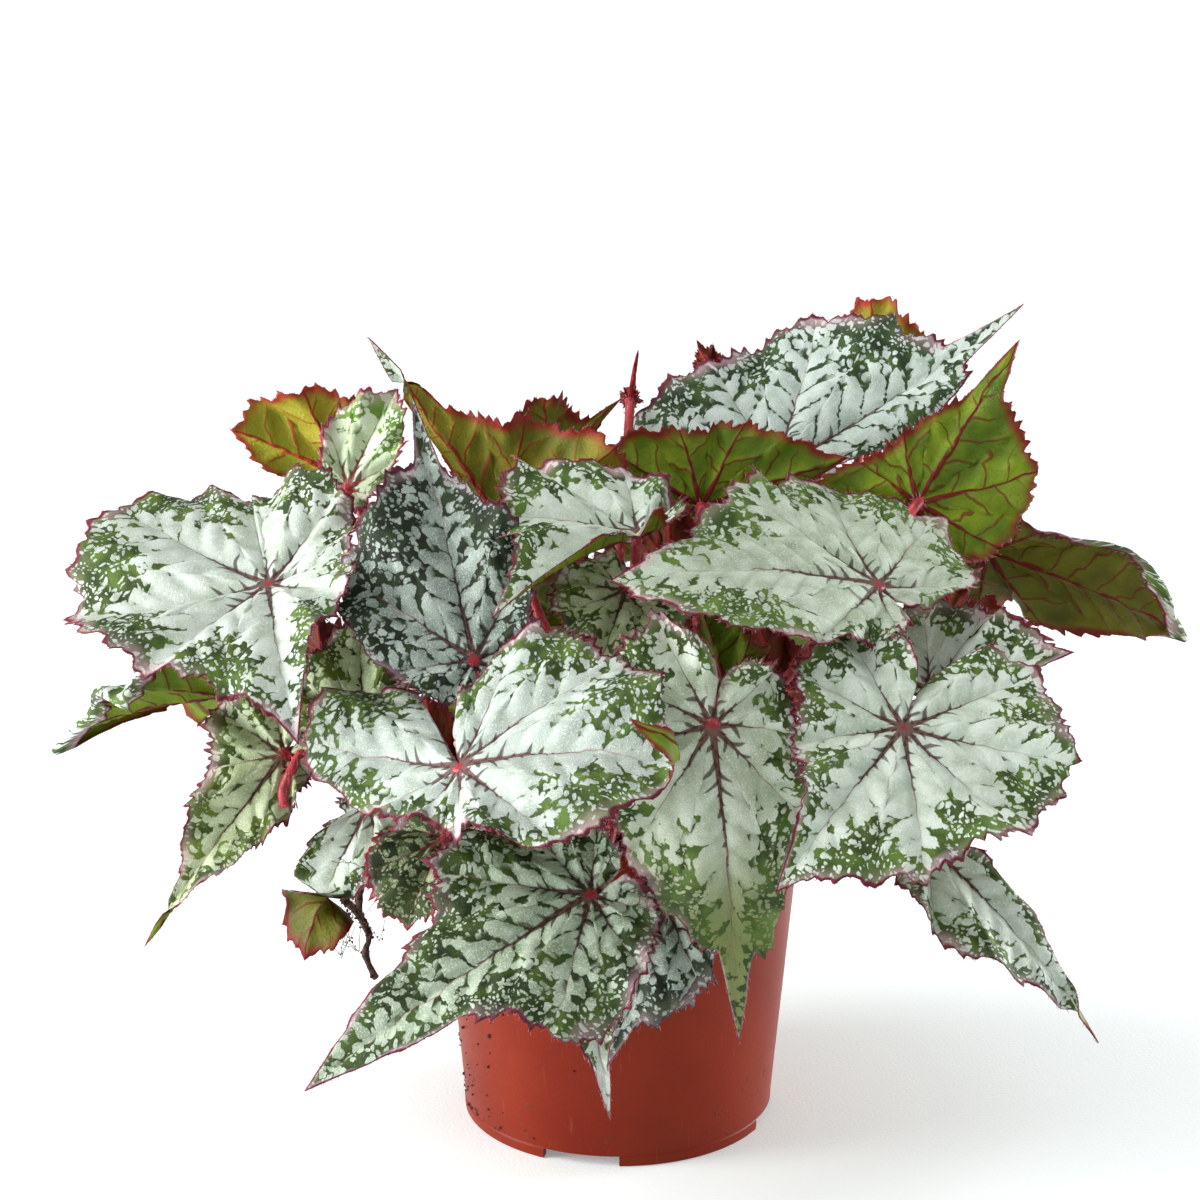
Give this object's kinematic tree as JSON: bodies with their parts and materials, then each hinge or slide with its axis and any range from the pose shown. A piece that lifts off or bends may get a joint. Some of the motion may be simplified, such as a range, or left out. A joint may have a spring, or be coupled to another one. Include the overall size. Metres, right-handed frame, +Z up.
{
  "type": "potted rex begonia",
  "caption": "Rex begonia in a plastic nursery pot: lopsided heart-shaped silver leaves with toothed, waved edges and long drip tips on red stalks, spreading over the rim.",
  "frame": {"origin": "centre of the pot's foot, on the surface it stands on", "axes": "+X to the right and +Y away from the viewer of the picture, +Z up"},
  "size_m": [0.3755, 0.2477, 0.2603],
  "materials": {
    "leaf": "satin, silver panels on dark green with red hairs on the edge",
    "stalk": "fleshy, red, hairy",
    "soil": "matt crumbs",
    "pot_plastic": "satin terracotta-coloured plastic"
  },
  "bodies": {
    "root": {"leaf_front_middle": "leaf", "leaf_front_hanging": "leaf", "leaf_front_right": "leaf", "leaf_front_low": "leaf", "leaf_left_broad": "leaf", "leaf_centre_right": "leaf", "leaf_centre_dark": "leaf", "leaf_centre_top": "leaf", "leaf_centre_shaded": "leaf", "leaf_centre_inner": "leaf", "leaf_crest_right": "leaf", "leaf_crest_middle": "leaf", "leaf_crest_left": "leaf", "leaf_crest_far": "leaf", "leaf_crest_back": "leaf", "leaf_right_upright": "leaf", "leaf_right_far": "leaf", "leaf_right_inner": "leaf", "leaf_right_shaded": "leaf", "leaf_right_hanging": "leaf", "leaf_left_edge": "leaf", "leaf_left_hanging": "leaf", "leaf_left_lower": "leaf", "leaf_left_shaded": "leaf", "leaf_left_rear": "leaf", "leaf_left_young": "leaf", "leaf_left_inner": "leaf", "leaf_front_narrow": "leaf", "leaf_front_small": "leaf", "leaf_back_left": "leaf", "leaf_back_middle": "leaf", "leaf_back_right": "leaf", "leaf_back_low_left": "leaf", "leaf_back_low_right": "leaf", "leaf_back_high_left": "leaf", "leaf_back_high_right": "leaf", "leaf_back_side_left": "leaf", "leaf_back_side_right": "leaf", "rhizome_and_stalks": "stalk", "soil": "soil", "pot": "pot_plastic"}
  },
  "joints": []
}
